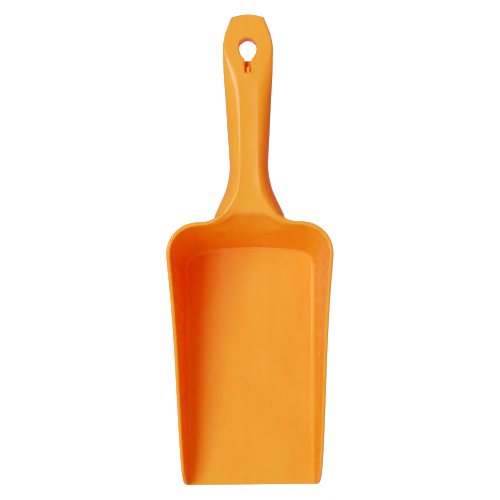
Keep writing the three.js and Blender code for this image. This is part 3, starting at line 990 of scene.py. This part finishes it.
def make_world():
    """An even white light tent."""
    world = bpy.data.worlds.new("light_tent")
    bpy.context.scene.world = world
    world.use_nodes = True
    background = world.node_tree.nodes["Background"]
    background.inputs["Color"].default_value = (1, 1, 1, 1)
    background.inputs["Strength"].default_value = TENT_STRENGTH


def set_tones():
    view = bpy.context.scene.view_settings
    view.view_transform = "Standard"
    view.use_curve_mapping = True
    mapping = view.curve_mapping
    mapping.white_level = (TONE_WHITE, TONE_WHITE, TONE_WHITE)
    for curve, tones in zip(mapping.curves, TONES):
        curve.points[0].location = (0, 0)
        curve.points[-1].location = (1, 1)
        for light, shown in tones[1:-1]:
            curve.points.new(light / TONE_WHITE, shown)
        for point in curve.points:
            point.handle_type = "AUTO_CLAMPED"
    mapping.update()


def stage_material():
    material = bpy.data.materials.new("white_sweep")
    material.use_nodes = True
    shader = material.node_tree.nodes["Principled BSDF"]
    shader.inputs["Base Color"].default_value = (STAGE_SHADE, STAGE_SHADE, STAGE_SHADE, 1)
    shader.inputs["Roughness"].default_value = STAGE_ROUGHNESS
    shader.inputs["Specular IOR Level"].default_value = 0
    shader.inputs["Emission Color"].default_value = (1, 1, 1, 1)
    shader.inputs["Emission Strength"].default_value = STAGE_GLOW
    return material


def make_backdrop_piece(name, verts, faces, material):
    """Part of the backdrop. It shows white without throwing its own glow back on the
    scoop, and it doesn't stand in the softboxes' light."""
    mesh = bpy.data.meshes.new(name)
    mesh.from_pydata([Vector(v) * MM for v in verts], [], faces)
    mesh.materials.append(material)
    piece = bpy.data.objects.new(name, mesh)
    bpy.context.scene.collection.objects.link(piece)
    piece.visible_diffuse = False
    piece.visible_glossy = False
    piece.visible_shadow = False


def make_stage():
    """A white floor, and a white surround that stands on it."""
    material = stage_material()
    turns = [2 * math.pi * k / STAGE_FACETS for k in range(STAGE_FACETS)]
    edge = [(STAGE_RADIUS * math.cos(turn), STAGE_RADIUS * math.sin(turn)) for turn in turns]
    floor = [(x, y, FLOOR_Z) for x, y in edge]
    make_backdrop_piece("floor", floor, [range(STAGE_FACETS)], material)
    walls = [(x, y, z) for z in (FLOOR_Z, STAGE_HEIGHT) for x, y in edge]
    faces = []
    for k in range(STAGE_FACETS):
        after = (k + 1) % STAGE_FACETS
        faces.append((k, after, STAGE_FACETS + after, STAGE_FACETS + k))
    make_backdrop_piece("surround", walls, faces, material)


# ------------------------------------------------------------------ materials

MOULDING_DEEP = (0.87, 0.255, 0.032, 1)
MOULDING_PALE = (0.89, 0.285, 0.044, 1)
MOULDING_PEEL = 0.03
# The plug's colours are paler than the moulding's: a painted highlight, standing in for the pale
# gleam along the plug in the notch.
PLUG_DEEP_WITH_PAINTED_HIGHLIGHT = (0.88, 0.33, 0.07, 1)
PLUG_PALE_WITH_PAINTED_HIGHLIGHT = (0.92, 0.37, 0.09, 1)
PLUG_PEEL = 0.02

POLYPROPYLENE_IOR = 1.49
SPECULAR_LEVEL = 0.24
ROUGHNESS_RANGE = (0.23, 0.29)
SCATTER_WEIGHT = 0.08
SCATTER_REACH = 2.5
SCATTER_TINT = (1, 0.35, 0.08)

# Scales of the surface's marks, in repeats per metre. Flow marks and scuffs are long along
# the handle, and narrow across it.
NOISE_ROUGHNESS = 0.55
CLOUD_SCALE = 28
FLOW_STRETCH = (140, 16, 140)
FLOW_SHARE = 0.4
SHEEN_SCALE = 45
SCUFF_STRETCH = (2600, 70, 900)
SCUFF_PATCH_SCALE = 60
SCUFF_ROUGHNESS = 0.12
SCUFF_DEPTH = 0.5
SKIN_SCALE = 1500
SKIN_SHARE = 0.35
WAVE_SCALE = 190

# Parts of the noise's range over which a mark goes from none to full.
TINT_SPAN = (0.35, 0.65)
SHEEN_SPAN = (0.3, 0.7)
SCRATCH_SPAN = (0.66, 0.74)
PATCH_SPAN = (0.5, 0.62)


class Nodes:
    """A material's nodes, added and linked by name."""

    def __init__(self, name):
        self.material = bpy.data.materials.new(name)
        self.material.use_nodes = True
        self.tree = self.material.node_tree
        self.shader = self.tree.nodes["Principled BSDF"]

    def add(self, kind, settings, inputs):
        """A node with its settings, and its inputs as values or other nodes' outputs."""
        node = self.tree.nodes.new(kind)
        for name, value in settings.items():
            setattr(node, name, value)
        self.feed(node, inputs)
        return node.outputs

    def feed(self, node, inputs):
        for name, value in inputs.items():
            if isinstance(value, bpy.types.NodeSocket):
                self.tree.links.new(value, node.inputs[name])
            else:
                node.inputs[name].default_value = value

    def noise(self, place, scale, detail):
        return self.add("ShaderNodeTexNoise", {}, {
            "Vector": place, "Scale": scale, "Detail": detail, "Roughness": NOISE_ROUGHNESS,
        })["Fac"]

    def stretch(self, place, amounts):
        mapping = {"vector_type": "POINT"}
        return self.add("ShaderNodeMapping", mapping, {"Vector": place, "Scale": amounts})["Vector"]

    def span(self, value, low, high, new_low, new_high):
        """value moved from one range to another, and held inside the new one."""
        return self.add("ShaderNodeMapRange", {}, {
            "Value": value, "From Min": low, "From Max": high,
            "To Min": new_low, "To Max": new_high,
        })["Result"]

    def maths(self, operation, first, second):
        node = self.add("ShaderNodeMath", {"operation": operation}, {0: first, 1: second})
        return node["Value"]

    def blend(self, share, first, second):
        """Colour between two colours."""
        return self.add("ShaderNodeMixRGB", {}, {
            "Fac": share, "Color1": first, "Color2": second,
        })["Color"]


def moulded_plastic(name, deep, pale, peel):
    """Coloured polypropylene as it leaves the mould: soft flow marks along the part, an
    uneven sheen, a fine orange-peel surface and a few fine scuffs from use. deep and pale
    are the ends of its colour's range, and peel is the depth of the orange peel in mm."""
    nodes = Nodes(name)
    place = nodes.add("ShaderNodeTexCoord", {}, {})["Object"]

    clouds = nodes.noise(place, CLOUD_SCALE, 3)
    flow = nodes.noise(nodes.stretch(place, FLOW_STRETCH), 1, 4)
    tint = nodes.maths("ADD", nodes.maths("MULTIPLY", clouds, 1 - FLOW_SHARE),
                       nodes.maths("MULTIPLY", flow, FLOW_SHARE))
    color = nodes.blend(nodes.span(tint, *TINT_SPAN, 0, 1), deep, pale)

    scratches = nodes.noise(nodes.stretch(place, SCUFF_STRETCH), 1, 2)
    patches = nodes.noise(place, SCUFF_PATCH_SCALE, 2)
    scuffed = nodes.maths("MULTIPLY", nodes.span(scratches, *SCRATCH_SPAN, 0, 1),
                          nodes.span(patches, *PATCH_SPAN, 0, 1))
    sheen = nodes.noise(place, SHEEN_SCALE, 3)
    roughness = nodes.maths("ADD", nodes.span(sheen, *SHEEN_SPAN, *ROUGHNESS_RANGE),
                            nodes.maths("MULTIPLY", scuffed, SCUFF_ROUGHNESS))

    skin = nodes.noise(place, SKIN_SCALE, 2)
    waves = nodes.noise(place, WAVE_SCALE, 2)
    relief = nodes.maths("ADD", nodes.maths("MULTIPLY", skin, SKIN_SHARE), waves)
    relief = nodes.maths("SUBTRACT", relief, nodes.maths("MULTIPLY", scuffed, SCUFF_DEPTH))
    bump = nodes.add("ShaderNodeBump", {}, {
        "Height": relief, "Strength": 1, "Distance": peel * MM,
    })["Normal"]

    nodes.feed(nodes.shader, {
        "Base Color": color, "Roughness": roughness, "Normal": bump,
        "IOR": POLYPROPYLENE_IOR, "Specular IOR Level": SPECULAR_LEVEL,
        "Subsurface Weight": SCATTER_WEIGHT, "Subsurface Scale": SCATTER_REACH * MM,
        "Subsurface Radius": SCATTER_TINT,
    })
    return nodes.material


# ------------------------------------------------------------------ scene

moulding = make_moulding()
moulding.data.materials.append(
    moulded_plastic("orange_polypropylene", MOULDING_DEEP, MOULDING_PALE, MOULDING_PEEL)
)
plug = make_plug()
# The plug's paler colours are a painted highlight.
plug.data.materials.append(
    moulded_plastic("orange_polypropylene_painted_highlight", PLUG_DEEP_WITH_PAINTED_HIGHLIGHT, PLUG_PALE_WITH_PAINTED_HIGHLIGHT, PLUG_PEEL)
)
make_camera()
make_world()
make_softbox("key_softbox", KEY_BOX)
make_softbox("fill_softbox", FILL_BOX)
make_stage()
set_tones()
